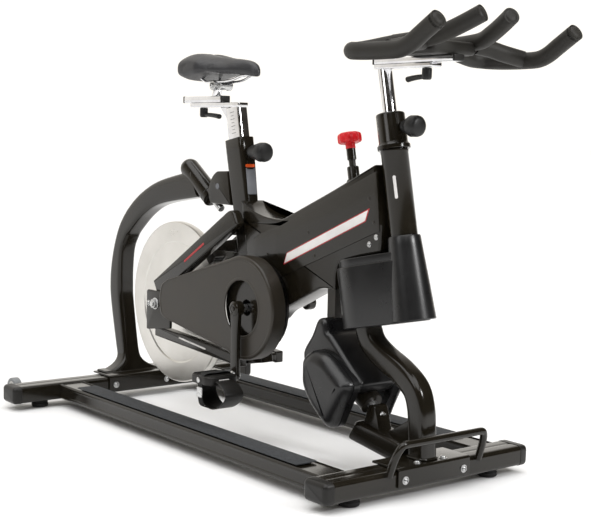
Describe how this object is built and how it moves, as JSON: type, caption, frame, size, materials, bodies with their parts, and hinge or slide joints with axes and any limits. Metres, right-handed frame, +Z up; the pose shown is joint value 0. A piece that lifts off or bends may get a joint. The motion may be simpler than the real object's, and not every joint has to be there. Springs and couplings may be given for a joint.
{
  "type": "exercise bike",
  "caption": "Indoor cycling bike whose frame leans on an inclined axis over a fixed base, with steering that follows the lean, a flywheel, adjustable saddle and handlebar.",
  "frame": {"origin": "on the floor under the middle of the overall box", "axes": "+X forward (towards the handlebar), +Y to the rider's left, +Z up"},
  "size_m": [1.5725, 0.83, 1.0568],
  "materials": {
    "black_paint": "gloss powder coat",
    "black_plastic": "fine-textured moulded",
    "black_foam": "dipped foam grip",
    "black_rubber": "matt",
    "grip_tape": "gritty anti-slip strip",
    "grey_rubber": "matt moulded",
    "chrome": "polished plate",
    "bright_steel": "zinc plated",
    "brushed_disc": "turned and polished",
    "red_plastic": "gloss",
    "black_vinyl": "semi-matt vinyl cover"
  },
  "bodies": {
    "base": {"rear_beam": "black_paint", "front_beam": "black_paint", "side_rail_right": "black_paint", "side_rail_left": "black_paint", "rear_beam_cap_right": "black_plastic", "rear_beam_cap_left": "black_plastic", "front_beam_cap_right": "black_plastic", "front_beam_cap_left": "black_plastic", "rear_foot_right": "black_rubber", "rear_foot_left": "black_rubber", "front_foot_right": "black_rubber", "front_foot_left": "black_rubber", "grip_strip_right": "grip_tape", "grip_strip_left": "grip_tape", "front_clamp_plate": "black_paint", "rear_clamp_plate": "black_paint", "lift_handle": "black_paint", "spine_tube": "black_paint", "front_post": "black_paint", "rear_arch": "black_paint", "rear_pivot_housing": "black_paint"},
    "frame": {"seat_tube": "black_paint", "main_beam": "black_paint", "head_tube": "black_paint", "seat_stay_right": "black_paint", "seat_stay_left": "black_paint", "chain_stay_right": "black_paint", "chain_stay_left": "black_paint", "flywheel_axle": "bright_steel", "drive_chain": "bright_steel", "chain_guard": "black_plastic", "rear_pivot_bracket": "black_paint", "brake_bracket": "black_paint", "pivot_strut": "black_paint", "lower_housing": "black_plastic"},
    "steering": {"steerer_tube": "black_paint", "head_collar": "black_paint", "steering_shell": "black_plastic"},
    "head_pin": {"head_pin": "black_plastic"},
    "handlebar_post": {"handlebar_post": "chrome"},
    "handlebar": {"handlebar_slider": "chrome", "handlebar": "black_foam"},
    "handlebar_lever": {"handlebar_lever": "black_plastic"},
    "seat_post": {"seat_post": "chrome"},
    "saddle": {"seat_slider": "chrome", "saddle": "black_vinyl"},
    "seat_lever": {"seat_lever": "black_plastic"},
    "seat_pin": {"seat_pin": "black_plastic"},
    "cranks": {"crank_arm_right": "black_paint", "crank_arm_left": "black_paint"},
    "flywheel": {"flywheel": "brushed_disc"},
    "pedal_right": {"pedal_right": "black_plastic", "toe_cage_right": "black_plastic"},
    "pedal_left": {"pedal_left": "black_plastic", "toe_cage_left": "black_plastic"},
    "brake_stem": {"brake_stem": "bright_steel"},
    "resistance_knob": {"resistance_knob": "red_plastic"},
    "brake_shoe": {"brake_shoe": "black_paint"},
    "transport_wheel_right": {"transport_wheel_right": "grey_rubber"},
    "transport_wheel_left": {"transport_wheel_left": "grey_rubber"}
  },
  "joints": [
    {"name": "lean", "type": "hinge", "parent": "base", "child": "frame", "pos_m": [0.4117, 0, 0.15], "axis": [0.8279, 0, -0.5608], "range_deg": [-10, 10], "stiffness_Nm_per_rad": 320},
    {"name": "steer", "type": "hinge", "parent": "frame", "child": "steering", "pos_m": [0.44108, 0, 0.757], "axis": [-0.2079, 0, 0.9781], "range_deg": [-14, 14]},
    {"name": "handlebar_height", "type": "slide", "parent": "steering", "child": "handlebar_post", "axis": [-0.2079, 0, 0.9781], "range_m": [-0.06, 0.08]},
    {"name": "handlebar_reach", "type": "slide", "parent": "handlebar_post", "child": "handlebar", "axis": [1, 0, 0], "range_m": [-0.03, 0.03]},
    {"name": "handlebar_lever_turn", "type": "hinge", "parent": "handlebar_post", "child": "handlebar_lever", "pos_m": [0.5377, 0, 0.9377], "axis": [0, 0, 1], "range_deg": [-80, 80]},
    {"name": "head_pin_pull", "type": "slide", "parent": "steering", "child": "head_pin", "axis": [1, 0, 0], "range_m": [0, 0.01], "stiffness_N_per_m": 500, "springref_m": -0.004},
    {"name": "seat_height", "type": "slide", "parent": "frame", "child": "seat_post", "axis": [-0.1891, 0, 0.982], "range_m": [-0.055, 0.1]},
    {"name": "saddle_reach", "type": "slide", "parent": "seat_post", "child": "saddle", "axis": [1, 0, 0], "range_m": [-0.035, 0.055]},
    {"name": "seat_lever_turn", "type": "hinge", "parent": "seat_post", "child": "seat_lever", "pos_m": [-0.3223, 0, 0.8577], "axis": [0, 0, 1], "range_deg": [-80, 80]},
    {"name": "seat_pin_pull", "type": "slide", "parent": "frame", "child": "seat_pin", "axis": [1, 0, 0], "range_m": [0, 0.01], "stiffness_N_per_m": 500, "springref_m": -0.004},
    {"name": "flywheel_spin", "type": "hinge", "parent": "frame", "child": "flywheel", "pos_m": [-0.4343, 0, 0.3106], "axis": [0, 1, 0], "continuous": true},
    {"name": "crank_spin", "type": "hinge", "parent": "frame", "child": "cranks", "pos_m": [0.0067, 0, 0.352], "axis": [0, 1, 0], "continuous": true},
    {"name": "pedal_right_spin", "type": "hinge", "parent": "cranks", "child": "pedal_right", "pos_m": [0.0067, -0.1845, 0.182], "axis": [0, 1, 0], "continuous": true},
    {"name": "pedal_left_spin", "type": "hinge", "parent": "cranks", "child": "pedal_left", "pos_m": [0.0067, 0.1845, 0.522], "axis": [0, 1, 0], "continuous": true},
    {"name": "brake_push", "type": "slide", "parent": "frame", "child": "brake_stem", "axis": [-0.2079, 0, 0.9781], "range_m": [-0.01, 0], "stiffness_N_per_m": 1500},
    {"name": "resistance_turn", "type": "hinge", "parent": "brake_stem", "child": "resistance_knob", "pos_m": [0.28919, 0, 0.76931], "axis": [-0.2079, 0, 0.9781], "range_deg": [-540, 540]},
    {"name": "brake_shoe_press", "type": "slide", "parent": "frame", "child": "brake_shoe", "axis": [-0.7547, 0, -0.6561], "range_m": [0, 0.0036]},
    {"name": "transport_wheel_right_spin", "type": "hinge", "parent": "base", "child": "transport_wheel_right", "pos_m": [-0.7478, -0.36, 0.046], "axis": [0, 1, 0], "continuous": true},
    {"name": "transport_wheel_left_spin", "type": "hinge", "parent": "base", "child": "transport_wheel_left", "pos_m": [-0.7478, 0.36, 0.046], "axis": [0, 1, 0], "continuous": true}
  ],
  "couplings": [
    {"joint": "steer", "follows": "lean", "ratio": -1.2735},
    {"joint": "crank_spin", "follows": "flywheel_spin", "ratio": 0.26923},
    {"joint": "brake_shoe_press", "follows": "brake_push", "ratio": -0.35}
  ]
}
